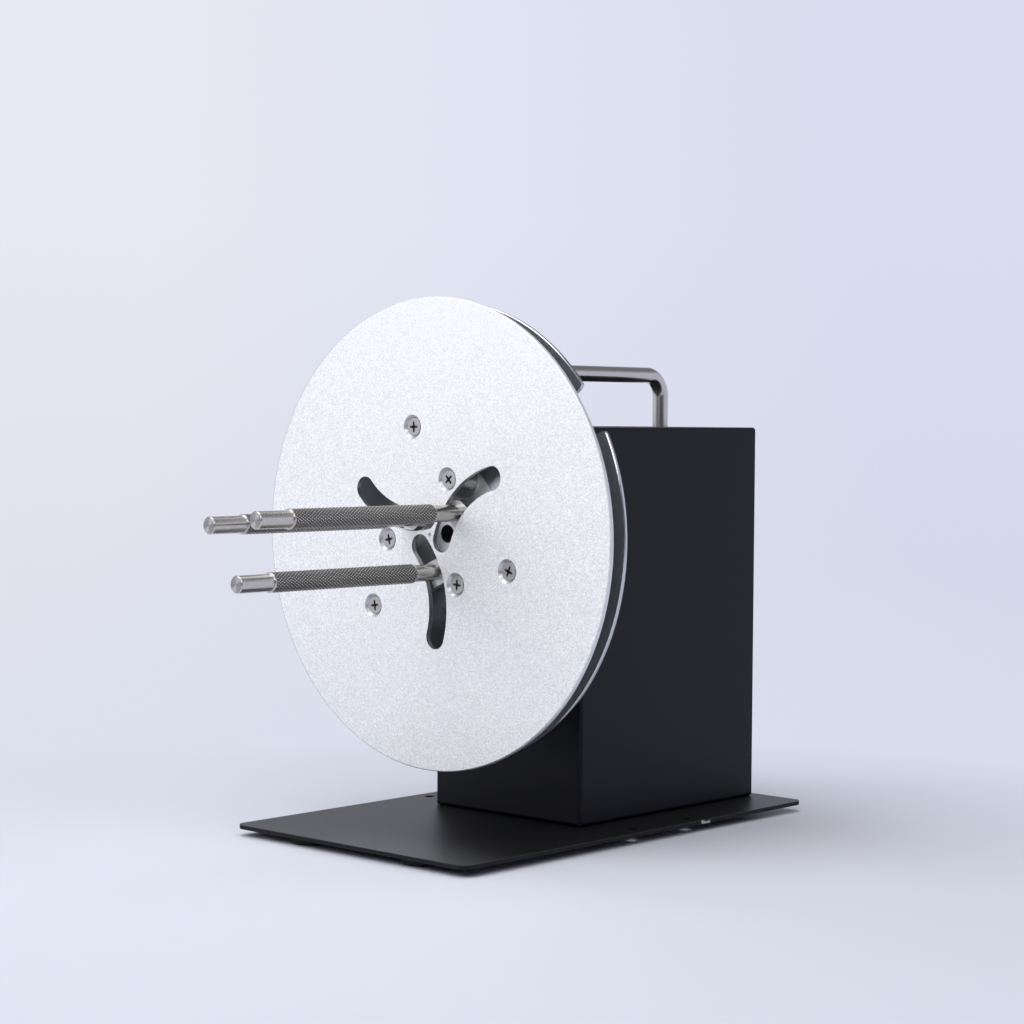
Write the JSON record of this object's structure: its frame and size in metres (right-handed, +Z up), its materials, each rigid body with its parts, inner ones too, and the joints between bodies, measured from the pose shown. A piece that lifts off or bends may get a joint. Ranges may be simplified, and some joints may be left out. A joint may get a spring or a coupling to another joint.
{
  "type": "label rewinder",
  "caption": "Motorised label rewinder: a driven disc with an adjusting ring and knurled swing-out rods that grip a paper core, on a base plate with a sheet-metal drive housing.",
  "frame": {"origin": "on the table under the spindle, at the middle of the whole length", "axes": "+Z up, +Y from the rods back to the motor housing, +X to the right seen from the front"},
  "size_m": [0.22, 0.3216, 0.2531],
  "materials": {
    "black_coat": "fine-textured matte powder coat",
    "blasted_aluminium": "sandblasted",
    "turned_aluminium": "satin turned",
    "stainless": "satin, knurled on the rods",
    "steel": "bright machined",
    "zinc_steel": "bright zinc plated",
    "black_steel": "black oxide",
    "motor_steel": "grey lacquer",
    "foot_rubber": "matte",
    "black_plastic": "fine moulded texture",
    "nylon": "natural",
    "board_green": "solder resist",
    "brass": "turned",
    "spider_red": "polyurethane"
  },
  "bodies": {
    "base": {"base_plate": "black_coat", "rubber_feet": "foot_rubber", "base_screws": "zinc_steel", "base_nuts": "zinc_steel", "housing": "black_coat", "back_panel": "black_coat", "panel_screws": "black_steel", "handle": "stainless", "handle_screws": "zinc_steel", "bearing_housing": "turned_aluminium", "flange_screws": "black_steel", "flange_nuts": "zinc_steel", "front_bearing": "steel", "rear_bearing": "steel", "motor_bracket": "zinc_steel", "gearbox": "motor_steel", "motor": "motor_steel", "motor_screws": "zinc_steel", "control_board": "board_green", "board_standoffs": "brass", "board_screws": "zinc_steel", "dc_inlet": "black_plastic", "inlet_nut": "zinc_steel", "switch_body": "black_plastic", "pot_body": "motor_steel", "pot_nut": "zinc_steel"},
    "spindle_unit": {"spindle": "steel", "bearing_spacer": "steel", "spindle_circlips": "black_steel", "coupling_front": "turned_aluminium", "coupling_spider": "spider_red", "coupling_rear": "turned_aluminium", "motor_shaft": "steel", "hub": "turned_aluminium", "hub_set_screws": "black_steel", "hub_screws": "black_steel", "friction_washer": "nylon", "retaining_washers": "steel", "disc_posts": "steel", "front_disc": "blasted_aluminium", "disc_screws": "zinc_steel", "pivot_posts": "steel", "pivot_screws": "zinc_steel", "pivot_washers": "nylon"},
    "ring": {"adjusting_ring": "turned_aluminium"},
    "swing_arm_1": {"arm_1": "steel", "rod_1": "stainless", "cam_pin_1": "steel"},
    "swing_arm_2": {"arm_2": "steel", "rod_2": "stainless", "cam_pin_2": "steel"},
    "swing_arm_3": {"arm_3": "steel", "rod_3": "stainless", "cam_pin_3": "steel"},
    "rocker": {"rocker": "black_plastic"},
    "knob": {"speed_knob": "black_plastic", "pot_shaft": "steel"}
  },
  "joints": [
    {"name": "spindle_spin", "type": "hinge", "parent": "base", "child": "spindle_unit", "pos_m": [0, -0.0418, 0.1431], "axis": [0, -1, 0], "continuous": true},
    {"name": "ring_turn", "type": "hinge", "parent": "spindle_unit", "child": "ring", "pos_m": [0, -0.0418, 0.1431], "axis": [0, -1, 0], "range_deg": [-40.9, 19.1]},
    {"name": "arm_1_swing", "type": "hinge", "parent": "spindle_unit", "child": "swing_arm_1", "pos_m": [-0.01169, -0.0418, 0.19295], "axis": [0, -1, 0], "range_deg": [-40.9, 19.1]},
    {"name": "arm_2_swing", "type": "hinge", "parent": "spindle_unit", "child": "swing_arm_2", "pos_m": [-0.03732, -0.0418, 0.10805], "axis": [0, -1, 0], "range_deg": [-40.9, 19.1]},
    {"name": "arm_3_swing", "type": "hinge", "parent": "spindle_unit", "child": "swing_arm_3", "pos_m": [0.04902, -0.0418, 0.1283], "axis": [0, -1, 0], "range_deg": [-40.9, 19.1]},
    {"name": "rocker_tilt", "type": "hinge", "parent": "base", "child": "rocker", "pos_m": [-0.02, 0.1433, 0.0805], "axis": [1, 0, 0], "range_deg": [-10, 10]},
    {"name": "knob_turn", "type": "hinge", "parent": "base", "child": "knob", "pos_m": [0.02, 0.1448, 0.0805], "axis": [0, 1, 0], "range_deg": [-150, 150]}
  ],
  "couplings": [
    {"joint": "arm_1_swing", "follows": "ring_turn", "ratio": 1},
    {"joint": "arm_2_swing", "follows": "ring_turn", "ratio": 1},
    {"joint": "arm_3_swing", "follows": "ring_turn", "ratio": 1}
  ]
}
